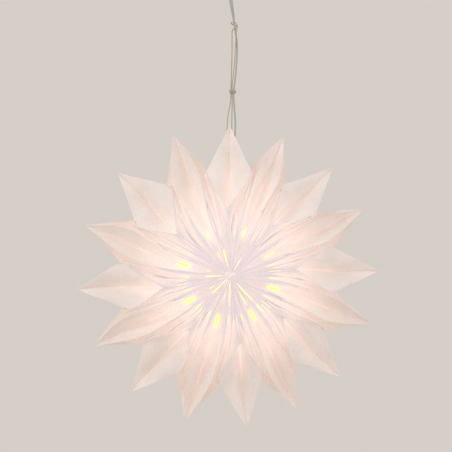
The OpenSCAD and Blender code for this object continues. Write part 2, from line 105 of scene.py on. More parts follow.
# Pairs of colours that a finish clouds or bands between
BRASS = ((0.72, 0.50, 0.20), (0.50, 0.33, 0.13))
FROSTED_GLASS = ((0.93, 0.89, 0.78), (0.86, 0.81, 0.68))
# The cap's metal and its painted shade, banded along its ridges
CAP_RIDGE_SHADES = ((0.62, 0.60, 0.55), (0.42, 0.41, 0.38))

# Points of the paper closer than this are one
SAME_POINT = 0.00001
# Two triangles make a quad below this bend and this skew, in degrees
QUAD_BEND = 30
QUAD_SKEW = 60

# Distance between the rings of a cord
FLEX_STEP = 0.003
TWINE_STEP = 0.0006
# Points round a cord
FLEX_SIDES = 28
TWINE_SIDES = 15
# The flex's waist: its depth and its width, as shares of a core's radius
WAIST_DEPTH = 0.32
WAIST_WIDTH = 0.28
# The twine's plies, and the share of its radius that they stand out by
PLIES = 3
PLY_DEPTH = 0.26
# Middle line of the flex: across, out, height over the star's middle in
# millimetres, then the turn of its broad side in degrees
FLEX_ROUTE = [
    (0, 0, 36.1, 90), (0, 0, 60, 90), (0, 0, 73, 90), (1.5, 0, 82, 90),
    (5, 0, 95, 90), (8, 0, 120, 90), (9, 0, 160, 90), (9.5, 0, 196, 90),
    (10.5, 0, 222, 90), (8.4, 0, 256, 90), (8.4, 0, 273, 90), (11.2, 0, 298, 90),
    (13, 0, 336, 90), (9, 0, 370, 85), (4, 0, 404, 5), (1, 0, 420, 0),
    (0, 0, 430, 0), (0, 0, 444, 0), (0, 0, 457, 0)]
# Middle line of the twine in millimetres, from the tie up round the flex, down
# through the tie and the paper's top tip, and up to the tie again
TWINE_ROUTE = [
    (4, 1, 270.5), (4.2, 1, 280), (4.8, 0.3, 300), (5.6, -0.3, 330),
    (5.6, -1, 352), (6.2, -2.2, 360), (9.2, -4.2, 362.5), (12.8, -3, 364.5),
    (13.9, 0, 366), (12.8, 3, 367.3), (9.2, 4.4, 368.6), (5.6, 2.8, 370),
    (4.8, 0, 371.2), (6, -3, 372), (9.2, -5, 371.5), (12, -5.6, 369),
    (13.2, -5.8, 365.5), (12.6, -5.8, 361), (11.4, -4.8, 352), (10.8, -3.6, 337),
    (9.5, -2.4, 315), (7.5, -1.4, 295), (5.9, -0.6, 280), (5.7, -0.4, 266),
    (5.7, -0.2, 250), (5.2, 0, 225), (5, 0, 205), (5, 0, 195.5),
    (4.2, 0, 191.6), (1.7, 0, 190), (-0.8, 0, 191.6), (-1.7, 0, 195.5),
    (-1.7, 0, 212), (-1.2, 0, 225), (0.2, 0, 237), (2.4, 0.2, 249),
    (3.7, 0.4, 259), (4, 0.4, 264), (4, 0.4, 269)]
# The tie in millimetres: its middle, and half its inner size across and out
TIE_MIDDLE = (6.5, 0, 270)
TIE_INSIDE = (3.5, 3.0)
# Its turns, the points they are drawn with, and their pitch in diameters of the twine
TIE_TURNS = 3.05
TIE_POINTS = 48
TIE_PITCH = 0.98
# Below 1, the turns bulge from a circle towards a square
TIE_BULGE = 0.7

# The thread knot: its core, how deep its middle sits, its loops and their strand
KNOT_CORE = 0.0055
KNOT_DEPTH = 0.0060
KNOT_LOOP = 0.0050
KNOT_STRAND = 0.0008
# Turn and tilt of each loop in degrees
KNOT_LOOPS = ((0, 0), (60, 50), (120, -50), (200, 65), (290, -65))

# Heights over the star's middle between which the bulb's glass gives way to its cap
CAP_START = (0.0115, 0.0125)

# How far to the left of the star's middle, and above it, the camera aims
AIM = (0.0032, 0.0729)
SENSOR_MM = 36.0
FLOOR_SIZE = 5.0
FLOOR_Z = -2.4
# Lamps: place, size, share of the key lamp's power, colour
LAMPS = {
    "key_lamp": ((-1.7, -2.3, 0.9), 1.6, 1.0, (1.0, 0.985, 0.96)),
    "fill_lamp": ((1.9, -1.6, -0.2), 1.8, 0.35, (0.97, 0.985, 1.0)),
    "back_lamp": ((0.4, 2.4, 0.3), 1.8, 0.4, (1.0, 0.99, 0.97)),
}


# Settings


class PaperSettings(bpy.types.PropertyGroup):
    """Sizes and colours of the star's paper"""

    smooth_levels: bpy.props.IntProperty(
        name="Smoothing", description="Subdivision levels of each paper pocket",
        default=1, min=0, max=2)
    fold_angle: bpy.props.FloatProperty(
        name="Fold angle", description="Edges bent more than this stay sharp folds",
        default=math.radians(34), subtype="ANGLE")
    cockle: bpy.props.FloatProperty(
        name="Cockle", description="How far the paper waves from its even shape",
        default=0.0022, unit="LENGTH")
    cockle_size: bpy.props.FloatProperty(
        name="Cockle size", description="Width of one wave in the paper",
        default=0.055, unit="LENGTH")
    paper: bpy.props.FloatVectorProperty(
        name="Paper", description="Colour of the unlit paper", subtype="COLOR",
        size=3, min=0, max=1, default=(0.60, 0.575, 0.56))
    glow_middle: bpy.props.FloatVectorProperty(
        name="Glow in the middle", description="Lamplight through the paper near the middle",
        subtype="COLOR", size=3, min=0, max=1, default=(0.50, 0.40, 0.365))
    glow_tip: bpy.props.FloatVectorProperty(
        name="Glow at the tips", description="Lamplight through the paper at the tips",
        subtype="COLOR", size=3, min=0, max=1, default=(0.31, 0.235, 0.195))
    glow_inside: bpy.props.FloatVectorProperty(
        name="Glow inside", description="Paper's rim round the lamp, seen through the gaps",
        subtype="COLOR", size=3, min=0, max=1, default=(0.90, 0.80, 0.10))
    front_glow_tint: bpy.props.FloatVectorProperty(
        name="Front tint", description="What is left of the glow at the front and back folds",
        subtype="COLOR", size=3, min=0, max=1, default=(0.74, 0.79, 0.90))


class CordSettings(bpy.types.PropertyGroup):
    """Sizes and colours of the flex and the twine"""

    flex_width: bpy.props.FloatProperty(
        name="Flex width", description="Broad side of the flat twin flex",
        default=0.0054, unit="LENGTH")
    flex_thickness: bpy.props.FloatProperty(
        name="Flex thickness", description="Narrow side of the flat twin flex",
        default=0.0027, unit="LENGTH")
    twine_diameter: bpy.props.FloatProperty(
        name="Twine diameter", description="Over its three plies",
        default=0.0016, unit="LENGTH")
    twine_lay: bpy.props.FloatProperty(
        name="Twine lay", description="Length in which a ply goes once round",
        default=0.0052, unit="LENGTH")
    flex_colour: bpy.props.FloatVectorProperty(
        name="Flex", description="Colour of the flex sheath", subtype="COLOR",
        size=3, min=0, max=1, default=(0.43, 0.46, 0.42))
    twine_colour: bpy.props.FloatVectorProperty(
        name="Twine", description="Colour of the twine", subtype="COLOR",
        size=3, min=0, max=1, default=(0.60, 0.50, 0.37))


class LampSettings(bpy.types.PropertyGroup):
    """Colours of the lamp, the ceiling rose and the thread knots"""

    plastic: bpy.props.FloatVectorProperty(
        name="Plastic", description="Colour of the lamp holder and the ceiling rose",
        subtype="COLOR", size=3, min=0, max=1, default=(0.80, 0.79, 0.75))
    bulb_glow: bpy.props.FloatVectorProperty(
        name="Bulb glow", description="Colour of the lit bulb", subtype="COLOR",
        size=3, min=0, max=1, default=(1.0, 0.86, 0.16))
    bulb_strength: bpy.props.FloatProperty(
        name="Bulb strength", description="Strength of the lit bulb's glow",
        default=1.3, min=0)
    thread: bpy.props.FloatVectorProperty(
        name="Thread", description="Colour of the thread knots", subtype="COLOR",
        size=3, min=0, max=1, default=(0.74, 0.68, 0.74))
    thread_glow: bpy.props.FloatVectorProperty(
        name="Thread glow", description="Lamplight through the thread knots", subtype="COLOR",
        size=3, min=0, max=1, default=(0.34, 0.26, 0.21))


class StageSettings(bpy.types.PropertyGroup):
    """Camera, lamps and background"""

    distance: bpy.props.FloatProperty(
        name="Camera distance", description="From the camera to the middle of the star",
        default=2.2, unit="LENGTH")
    yaw: bpy.props.FloatProperty(
        name="Camera yaw", description="How far the camera stands to the left",
        default=math.radians(1.6), subtype="ANGLE")
    frame_width: bpy.props.FloatProperty(
        name="Frame width", description="Width of the picture at the star's middle plane",
        default=0.6604, unit="LENGTH")
    wall: bpy.props.FloatVectorProperty(
        name="Background", description="Colour behind the lantern", subtype="COLOR",
        size=3, min=0, max=1, default=(0.67, 0.622, 0.578))
    daylight: bpy.props.FloatProperty(
        name="Daylight", description="Strength of the even light from all round",
        default=0.62, min=0)
    key_power: bpy.props.FloatProperty(
        name="Key lamp", description="Power of the large lamp in front, above and to the left",
        default=26.0, subtype="POWER")


# Modelling


def deselect():
    if bpy.context.object and bpy.context.object.mode != "OBJECT":
        bpy.ops.object.mode_set(mode="OBJECT")
    bpy.ops.object.select_all(action="DESELECT")


def pick(piece):
    deselect()
    piece.select_set(True)
    bpy.context.view_layer.objects.active = piece


def copy_of_node(node, name):
    """A piece that starts as a copy of a CAD node's mesh."""
    pick(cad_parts[node])
    bpy.ops.object.duplicate()
    piece = bpy.context.object
    piece.parent = None
    piece.matrix_world = Matrix.Identity(4)
    piece.name = name
    piece.data.name = name
    piece.data.materials.clear()
    return piece


def apply_all(piece):
    pick(piece)
    for modifier in list(piece.modifiers):
        bpy.ops.object.modifier_apply(modifier=modifier.name)


def finish_piece(piece, material, node):
    """Gives a piece its material and slot, and puts it in the place of a CAD node."""
    piece.data.materials.clear()
    piece.data.materials.append(material)
    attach(piece, "root")
    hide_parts(node)


def smooth_line(points, step):
    """Points about a step apart on the smooth line through the route's points."""
    line = []
    last = len(points) - 1
    for i in range(last):
        a = Vector(points[max(0, i - 1)])
        b, c = Vector(points[i]), Vector(points[i + 1])
        d = Vector(points[min(last, i + 2)])
        n = max(1, math.ceil((c - b).length / step))
        for s in range(n):
            u = s / n
            line.append((b * 2 + (c - a) * u + (a * 2 - b * 5 + c * 4 - d) * u ** 2
                         + (b * 3 - a - c * 3 + d) * u ** 3) / 2)
    line.append(Vector(points[last]))
    return line


def in_frame(points):
    """Route points in millimetres from the star's middle, as metres in the frame."""
    return [(x / 1000, y / 1000, z / 1000 + STAR_Z) for x, y, z in points]


def runs_along(line):
    """Length of the line up to each of its points."""
    runs = [0.0]
    for a, b in zip(line, line[1:]):
        runs.append(runs[-1] + (b - a).length)
    return runs


def swept(name, line, profile, sides, side_at=None):
    """A capped tube along a line. profile(i, w) gives (aside, across) at ring i and angle w."""
    mesh = bpy.data.meshes.new(name)
    bm = bmesh.new()
    unwrapped = bm.loops.layers.uv.new("UVMap")
    last = len(line) - 1
    runs = runs_along(line)
    aside = None
    rings = []
    for i, point in enumerate(line):
        ahead = (line[min(last, i + 1)] - line[max(0, i - 1)]).normalized()
        if side_at:
            aside = side_at(i)
        elif aside is None:
            aside = Vector((0, 1, 0)) if abs(ahead.y) < 0.9 else Vector((1, 0, 0))
        aside = (aside - ahead * aside.dot(ahead)).normalized()
        across = ahead.cross(aside)
        ring = []
        for s in range(sides):
            a, b = profile(i, 2 * math.pi * s / sides)
            ring.append(bm.verts.new(point + aside * a + across * b))
        rings.append(ring)
    for i in range(last):
        near, far = rings[i], rings[i + 1]
        for s in range(sides):
            t = (s + 1) % sides
            face = bm.faces.new((near[s], near[t], far[t], far[s]))
            face.smooth = True
            at = ((runs[i], s), (runs[i], s + 1), (runs[i + 1], s + 1), (runs[i + 1], s))
            for loop, (u, v) in zip(face.loops, at):
                loop[unwrapped].uv = (u * 100, v / sides)
    bm.faces.new(list(reversed(rings[0])))
    bm.faces.new(rings[-1])
    bmesh.ops.recalc_face_normals(bm, faces=bm.faces)
    bm.to_mesh(mesh)
    bm.free()
    piece = bpy.data.objects.new(name, mesh)
    bpy.context.scene.collection.objects.link(piece)
    return piece


# Materials


def feed(tree, socket, value):
    """Links another socket to an input, or types a number or a colour into it."""
    if isinstance(value, bpy.types.NodeSocket):
        tree.links.new(value, socket)
    elif isinstance(value, tuple):
        socket.default_value = (*value, 1)
    else:
        socket.default_value = value


def math_node(tree, operation, *values):
    node = tree.nodes.new("ShaderNodeMath")
    node.operation = operation
    for socket, value in zip(node.inputs, values):
        feed(tree, socket, value)
    return node.outputs[0]


def ranged(tree, value, low, high, to_low, to_high):
    """Turns the range from low to high into the range from to_low to to_high, softly."""
    node = tree.nodes.new("ShaderNodeMapRange")
    node.interpolation_type = "SMOOTHSTEP"
    node.inputs["From Min"].default_value = low
    node.inputs["From Max"].default_value = high
    node.inputs["To Min"].default_value = to_low
    node.inputs["To Max"].default_value = to_high
    tree.links.new(value, node.inputs["Value"])
    return node.outputs["Result"]


def mixed(tree, factor, a, b, blend="MIX"):
    node = tree.nodes.new("ShaderNodeMix")
    node.data_type = "RGBA"
    node.blend_type = blend
    # Inputs 0, 6 and 7 are the factor and the two colours of a colour mix
    for place, value in ((0, factor), (6, a), (7, b)):
        feed(tree, node.inputs[place], value)
    return node.outputs[2]


def times(tree, a, b):
    """Two colours, or a colour and a tone, multiplied."""
    return mixed(tree, 1.0, a, b, "MULTIPLY")


def noise(tree, vector, scale, detail, rough):
    node = tree.nodes.new("ShaderNodeTexNoise")
    feed(tree, node.inputs["Scale"], scale)
    node.inputs["Detail"].default_value = detail
    node.inputs["Roughness"].default_value = rough
    tree.links.new(vector, node.inputs["Vector"])
    return node.outputs["Fac"]


def stretched(tree, vector, scale, turn):
    node = tree.nodes.new("ShaderNodeMapping")
    node.inputs["Scale"].default_value = scale
    node.inputs["Rotation"].default_value = turn
    tree.links.new(vector, node.inputs["Vector"])
    return node.outputs["Vector"]


def vector_node(tree, operation, vector, value):
    """A point or offset, changed by a fixed vector."""
    node = tree.nodes.new("ShaderNodeVectorMath")
    node.operation = operation
    tree.links.new(vector, node.inputs[0])
    node.inputs[1].default_value = value
    return node.outputs["Vector"]


def attribute(tree, name):
    node = tree.nodes.new("ShaderNodeAttribute")
    node.attribute_name = name
    return node.outputs["Fac"]


def parts_of(tree, point):
    node = tree.nodes.new("ShaderNodeSeparateXYZ")
    tree.links.new(point, node.inputs[0])
    return node.outputs


def from_middle(tree, point, shares):
    """Distance from the star's middle, with its three parts counted by their shares."""
    offset = vector_node(tree, "SUBTRACT", point, MIDDLE)
    length = tree.nodes.new("ShaderNodeVectorMath")
    length.operation = "LENGTH"
    tree.links.new(vector_node(tree, "MULTIPLY", offset, shares), length.inputs[0])
    return length.outputs["Value"]


def new_group(name, inputs, outputs):
    group = bpy.data.node_groups.new(name, "ShaderNodeTree")
    for label, kind in inputs:
        group.interface.new_socket(name=label, in_out="INPUT", socket_type=kind)
    for label, kind in outputs:
        group.interface.new_socket(name=label, in_out="OUTPUT", socket_type=kind)
    return group, group.nodes.new("NodeGroupInput"), group.nodes.new("NodeGroupOutput")


def fibre_group():
    """Tone and height of paper or thread fibres at a point, as a node group built once."""
    if "fibre_grain" in bpy.data.node_groups:
        return bpy.data.node_groups["fibre_grain"]
    group, inn, out = new_group(
        "fibre_grain",
        [("Point", "NodeSocketVector"), ("Fibre Scale", "NodeSocketFloat"),
         ("Cloud Scale", "NodeSocketFloat")],
        [("Tone", "NodeSocketFloat"), ("Height", "NodeSocketFloat")])
    scaled = group.nodes.new("ShaderNodeVectorMath")
    scaled.operation = "SCALE"
    group.links.new(inn.outputs["Point"], scaled.inputs[0])
    group.links.new(inn.outputs["Fibre Scale"], scaled.inputs["Scale"])
    point = scaled.outputs["Vector"]
    one = noise(group, stretched(group, point, (900, 900, 190), (0.3, 0.5, 0.2)), 1.0, 3, 0.6)
    two = noise(group, stretched(group, point, (210, 800, 950), (0.9, 0.1, 0.7)), 1.0, 3, 0.6)
    cloud = noise(group, inn.outputs["Point"], inn.outputs["Cloud Scale"], 4, 0.6)
    fibres = math_node(group, "MAXIMUM", one, two)
    tone = math_node(group, "MULTIPLY", ranged(group, fibres, 0.35, 0.8, 0.94, 1.03),
                     ranged(group, cloud, 0.3, 0.7, 0.96, 1.02))
    group.links.new(tone, out.inputs["Tone"])
    group.links.new(fibres, out.inputs["Height"])
    return group


def placed_fibres(tree, point, fibre_scale, cloud_scale):
    """The fibre group placed in a material: its tone and its height."""
    node = tree.nodes.new("ShaderNodeGroup")
    node.node_tree = fibre_group()
    tree.links.new(point, node.inputs["Point"])
    node.inputs["Fibre Scale"].default_value = fibre_scale
    node.inputs["Cloud Scale"].default_value = cloud_scale
    return node.outputs["Tone"], node.outputs["Height"]


def new_material(name):
    material = bpy.data.materials.new(name)
    material.use_nodes = True
    tree = material.node_tree
    tree.nodes.clear()
    shader = tree.nodes.new("ShaderNodeBsdfPrincipled")
    end = tree.nodes.new("ShaderNodeOutputMaterial")
    tree.links.new(shader.outputs[0], end.inputs["Surface"])
    point = tree.nodes.new("ShaderNodeTexCoord").outputs["Object"]
    return material, tree, shader, point


def bumped(tree, shader, height, reach, strength):
    bump = tree.nodes.new("ShaderNodeBump")
    bump.inputs["Strength"].default_value = strength
    bump.inputs["Distance"].default_value = reach
    tree.links.new(height, bump.inputs["Height"])
    tree.links.new(bump.outputs["Normal"], shader.inputs["Normal"])


def light_through(tree, settings, point, fold, tone):
    """Lamplight painted through the paper: warm near the lamp, cooler on the folds in front and
    behind.
    """
    out = math_node(tree, "ABSOLUTE", parts_of(tree, point)["Y"])
    radius = from_middle(tree, point, (1.0, 0.0, 1.0))
    near = ranged(tree, from_middle(tree, point, GLOW_SHARES), *GLOW_FADES, 1.0, 0.0)
    light = mixed(tree, near, tuple(settings.glow_tip), tuple(settings.glow_middle))
    # Painted shade: the lamplight is dimmed and cooled on the front and back folds and round the hub
    cool = math_node(tree, "MAXIMUM", ranged(tree, out, *COOL_FOLDS, 0.0, 1.0),
                     ranged(tree, radius, *COOL_HUB, HUB_COOLS, 0.0))
    light = mixed(tree, cool, light, times(tree, light, tuple(settings.front_glow_tint)))
    light = times(tree, light, ranged(tree, fold, 0.0, 1.0, 1.0, FOLD_LEAVES))
    light = times(tree, light, tone)
    # Painted light along the glued joints, brightening their creases
    joint = math_node(tree, "MULTIPLY", ranged(tree, out, *JOINT_DEPTH, 1.0, 0.0),
                      ranged(tree, radius, *JOINT_RADIUS, 0.0, 1.0))
    return times(tree, light, ranged(tree, joint, 0.0, 1.0, 1.0, JOINT_LIGHT_GAIN))


def painted_lamp_glow(tree, point):
    """Where the lamp's yellow glow is painted on the paper: in slits by the knot and in streaks round
    the hollow.
    """
    radius = from_middle(tree, point, (1.0, 0.0, 1.0))
    across, out = HOLLOW
    hollow = from_middle(tree, point, (1 / across, 1 / out, 1 / across))
    beyond = math_node(tree, "SUBTRACT", radius, attribute(tree, "gaping"))
    slit = math_node(tree, "MULTIPLY", ranged(tree, beyond, *SLIT_END, 1.0, 0.0),
                     ranged(tree, radius, *SLIT_START, 0.0, 1.0))
    slit = math_node(tree, "MULTIPLY", slit, ranged(tree, hollow, *SLIT_RIM, 1.0, 0.0))
    streak = math_node(tree, "MULTIPLY", ranged(tree, radius, *STREAK_START, 0.0, 1.0),
                       ranged(tree, radius, *STREAK_END, 1.0, 0.0))
    low, high = STREAK_TOP
    height = parts_of(tree, point)["Z"]
    streak = math_node(tree, "MULTIPLY", streak,
                       ranged(tree, height, STAR_Z + low, STAR_Z + high, 1.0, STREAK_LEFT))
    streak = math_node(tree, "MULTIPLY", streak, ranged(tree, hollow, *STREAK_RIM, 1.0, 0.0))
    return math_node(tree, "MAXIMUM", slit, streak)


def paper_material(settings):
    """White paper with its lit-through look painted on: fibres, soft clouds, painted shade on the
    folds and the lamp's glow painted as emission.
    """
    material, tree, shader, point = new_material("star_paper")
    tone, height = placed_fibres(tree, point, 1.0, 26.0)
    fold = attribute(tree, "fold")
    shade = ranged(tree, fold, 0.0, 1.0, 0.0, FOLD_SHADE)
    plain = mixed(tree, shade, tuple(settings.paper), FOLD_SHADOW)
    tree.links.new(times(tree, plain, tone), shader.inputs["Base Color"])
    # Painted light: the paper's emission stands in for lamplight shining through it
    light = light_through(tree, settings, point, fold, tone)
    # Painted light: the paper's rim round the lamp glows yellow in the slits and streaks
    glow = mixed(tree, painted_lamp_glow(tree, point), light, tuple(settings.glow_inside))
    tree.links.new(glow, shader.inputs["Emission Color"])
    shader.inputs["Emission Strength"].default_value = 1.0
    shader.inputs["Roughness"].default_value = 0.82
    shader.inputs["Specular IOR Level"].default_value = 0.25
    bumped(tree, shader, height, 0.00012, 0.6)
    return material


def thread_material(name, colour, dark, fibre_scale, glow=None):
    """Spun fibre: strands along the string, with darker spots, lit through if it has a glow."""
    material, tree, shader, point = new_material(name)
    tone, height = placed_fibres(tree, point, fibre_scale, 90.0)
    spots = noise(tree, point, 1400.0, 2, 0.7)
    base = mixed(tree, ranged(tree, spots, 0.35, 0.7, 0.0, 0.75), tuple(colour), dark)
    tree.links.new(times(tree, base, tone), shader.inputs["Base Color"])
    shader.inputs["Roughness"].default_value = 0.9
    shader.inputs["Sheen Weight"].default_value = 0.25
    shader.inputs["Sheen Roughness"].default_value = 0.5
    if glow is not None:
        tree.links.new(times(tree, tuple(glow), tone), shader.inputs["Emission Color"])
        shader.inputs["Emission Strength"].default_value = 1.0
    bumped(tree, shader, height, 0.0002, 0.8)
    return material


def plastic_material(name, colour, rough, grain_scale):
    """Moulded plastic with a fine grain and faint handling marks."""
    material, tree, shader, point = new_material(name)
    fine = noise(tree, point, grain_scale, 3, 0.6)
    smear = noise(tree, point, 18.0, 4, 0.6)
    worn = tuple(part * 0.86 for part in colour)
    base = mixed(tree, ranged(tree, smear, 0.35, 0.75, 0.0, 0.35), tuple(colour), worn)
    tree.links.new(base, shader.inputs["Base Color"])
    roughness = ranged(tree, smear, 0.3, 0.7, rough - 0.06, rough + 0.08)
    tree.links.new(roughness, shader.inputs["Roughness"])
    bumped(tree, shader, fine, 0.00006, 0.5)
    return material


def brass_material():
    """Brass with a faint tarnish."""
    material, tree, shader, point = new_material("brass")
    smear = noise(tree, point, 120.0, 4, 0.6)
    base = mixed(tree, smear, *BRASS)
    tree.links.new(base, shader.inputs["Base Color"])
    tree.links.new(ranged(tree, smear, 0.3, 0.7, 0.25, 0.42), shader.inputs["Roughness"])
    shader.inputs["Metallic"].default_value = 1.0
    return material


def bulb_material(settings):
    """Frosted glass, lit from inside, with a ridged metal cap above it."""
    material, tree, shader, point = new_material("lit_glass")
    low, high = CAP_START
    cap = ranged(tree, parts_of(tree, point)["Z"], STAR_Z + low, STAR_Z + high, 0.0, 1.0)
    ridges = tree.nodes.new("ShaderNodeTexWave")
    ridges.bands_direction = "Z"
    ridges.inputs["Scale"].default_value = 110.0
    tree.links.new(point, ridges.inputs["Vector"])
    frost = noise(tree, point, 900.0, 2, 0.6)
    glass = mixed(tree, frost, *FROSTED_GLASS)
    # Painted shade: the cap's ridges are banded lighter and darker in step with their bump
    metal = mixed(tree, ridges.outputs["Fac"], *CAP_RIDGE_SHADES)
    tree.links.new(mixed(tree, cap, glass, metal), shader.inputs["Base Color"])
    glow = mixed(tree, cap, tuple(settings.bulb_glow), (0.0, 0.0, 0.0))
    tree.links.new(glow, shader.inputs["Emission Color"])
    shader.inputs["Emission Strength"].default_value = settings.bulb_strength
    shader.inputs["Roughness"].default_value = 0.4
    bumped(tree, shader, math_node(tree, "MULTIPLY", cap, ridges.outputs["Fac"]), 0.0006, 0.6)
    return material


# Pieces


class LANTERN_OT_camera(bpy.types.Operator):
    """Stands the camera in front of the lantern, level with the star"""

    bl_idname = "lantern.camera"
    bl_label = "Add camera"

    def execute(self, context):
        stage = context.scene.lantern_stage
        middle = Vector(MIDDLE)
        ahead = Vector((math.sin(stage.yaw), math.cos(stage.yaw), 0))
        right = Vector((ahead.y, -ahead.x, 0))
        place = middle - ahead * stage.distance
        to_left, up = AIM
        aim = middle - right * to_left + Vector((0, 0, up))
        deselect()
        bpy.ops.object.camera_add(location=place)
        camera = context.object
        camera.name = "camera"
        camera.rotation_euler = (aim - place).to_track_quat("-Z", "Y").to_euler()
        camera.data.sensor_width = SENSOR_MM
        camera.data.lens = SENSOR_MM * stage.distance / stage.frame_width
        camera.data.clip_end = 50.0
        context.scene.camera = camera
        return {"FINISHED"}


def twin_profile(width, thickness):
    """Outline of a flat twin flex: two round cores side by side, with a waist between."""
    core = thickness / 2

    def profile(i, w):
        a = math.cos(w)
        side = 1 if a >= 0 else -1
        waist = 1 - WAIST_DEPTH * math.exp(-(a / WAIST_WIDTH) ** 2)
        return side * (width / 2 - core) + core * a, core * math.sin(w) * waist

    return profile


def plied_profile(line, radius, lay):
    """Outline of plies that wind round each other along the line."""
    runs = runs_along(line)

    def profile(i, w):
        twist = 2 * math.pi * runs[i] / lay
        lobe = abs(math.cos(PLIES / 2 * (w - twist)))
        r = radius * (1 - PLY_DEPTH + PLY_DEPTH * lobe)
        return r * math.cos(w), r * math.sin(w)

    return profile


def bulged(v):
    """A sine or cosine that draws a rounded square instead of a circle."""
    return math.copysign(abs(v) ** TIE_BULGE, v)


class LANTERN_OT_cords(bpy.types.Operator):
    """Hangs the flex and ties the twine to it"""

    bl_idname = "lantern.cords"
    bl_label = "Add flex and twine"

    def execute(self, context):
        cords = context.scene.lantern_cords
        route = smooth_line(in_frame([spot[:3] for spot in FLEX_ROUTE]), FLEX_STEP)
        outline = twin_profile(cords.flex_width, cords.flex_thickness)
        flex = swept("flex_cord", route, outline, FLEX_SIDES, self.broad_side(route))
        sheath = plastic_material("flex_sheath", cords.flex_colour, 0.5, 700.0)
        finish_piece(flex, sheath, "flex")

        spun = thread_material("twine_fibre", cords.twine_colour, TWINE_DARK, 1.6)
        line = smooth_line(in_frame(TWINE_ROUTE), TWINE_STEP)
        twine = self.string("twine_string", line, cords)
        finish_piece(twine, spun, "twine")
        tie = self.string("twine_turns", self.coil_line(cords.twine_diameter), cords)
        finish_piece(tie, spun, "twine_tie")

        return {"FINISHED"}

    def broad_side(self, route):
        """Direction of the flex's broad side at each of its points, by their height."""
        turns = smooth_line([(turn, 0, z) for x, y, z, turn in FLEX_ROUTE], FLEX_STEP * 1000)

        def side_at(i):
            near = min(turns, key=lambda t: abs(t.z / 1000 + STAR_Z - route[i].z))
            w = math.radians(near.x)
            return Vector((math.cos(w), math.sin(w), 0))

        return side_at

    def string(self, name, line, cords):
        outline = plied_profile(line, cords.twine_diameter / 2, cords.twine_lay)
        return swept(name, line, outline, TWINE_SIDES)

    def coil_line(self, diameter):
        """The tie's turns round the strands, from the lowest to the highest."""
        x, y, z = TIE_MIDDLE
        twine = diameter * 1000
        across, out = (half + twine / 2 for half in TIE_INSIDE)
        points = []
        for i in range(TIE_POINTS + 1):
            turn = TIE_TURNS * i / TIE_POINTS
            w = 2 * math.pi * turn - math.pi / 2
            lift = twine * TIE_PITCH * (turn - TIE_TURNS / 2)
            points.append((x + across * bulged(math.cos(w)), y + out * bulged(math.sin(w)), z + lift))
        return smooth_line(in_frame(points), TWINE_STEP)


def mark_points(piece, name, values):
    """Notes one number for each of the piece's points, for its material to read."""
    layer = piece.data.attributes.new(name, "FLOAT", "POINT")
    layer.data.foreach_set("value", values)


def mark_folds(piece, angle):
    """Creases the paper's folds and cut edges, and notes which points lie on one."""
    mesh = piece.data
    on_fold = [0.0] * len(mesh.vertices)
    bm = bmesh.new()
    bm.from_mesh(mesh)
    crease = bm.edges.layers.float.new("crease_edge")
    for edge in bm.edges:
        if len(edge.link_faces) == 2 and edge.calc_face_angle(0) > angle:
            edge[crease] = 1.0
            for v in edge.verts:
                on_fold[v.index] = 1.0
    bm.to_mesh(mesh)
    bm.free()
    mark_points(piece, "fold", on_fold)


class LANTERN_OT_paper(bpy.types.Operator):
    """Dresses the sixteen paper pockets with curved, cockled paper"""

    bl_idname = "lantern.paper"
    bl_label = "Add paper pockets"

    def execute(self, context):
        paper = context.scene.lantern_paper
        material = paper_material(paper)
        waves = bpy.data.textures.new("paper_cockle", "CLOUDS")
        waves.noise_scale = paper.cockle_size
        waves.noise_depth = 1
        waves.cloud_type = "COLOR"
        for node in POCKETS:
            piece = copy_of_node(node, node.replace("pocket", "paper"))
            bpy.ops.object.mode_set(mode="EDIT")
            bpy.ops.mesh.select_all(action="SELECT")
            bpy.ops.mesh.remove_doubles(threshold=SAME_POINT)
            bpy.ops.mesh.tris_convert_to_quads(face_threshold=math.radians(QUAD_BEND),
                                               shape_threshold=math.radians(QUAD_SKEW))
            bpy.ops.object.mode_set(mode="OBJECT")
            mark_folds(piece, paper.fold_angle)
            mark_points(piece, "gaping", [GAPING.get(node, 0.0)] * len(piece.data.vertices))
            self.curve(piece, paper, waves)
            pick(piece)
            bpy.ops.object.shade_smooth_by_angle(angle=paper.fold_angle)
            finish_piece(piece, material, node)
        return {"FINISHED"}

    def curve(self, piece, paper, waves):
        """Rounds the paper between its folds and lets it wave a little."""
        if paper.smooth_levels:
            smooth = piece.modifiers.new("smooth", "SUBSURF")
            smooth.levels = smooth.render_levels = paper.smooth_levels
        cockle = piece.modifiers.new("cockle", "DISPLACE")
        cockle.texture = waves
        cockle.texture_coords = "LOCAL"
        cockle.direction = "RGB_TO_XYZ"
        cockle.mid_level = 0.5
        cockle.strength = paper.cockle
        apply_all(piece)


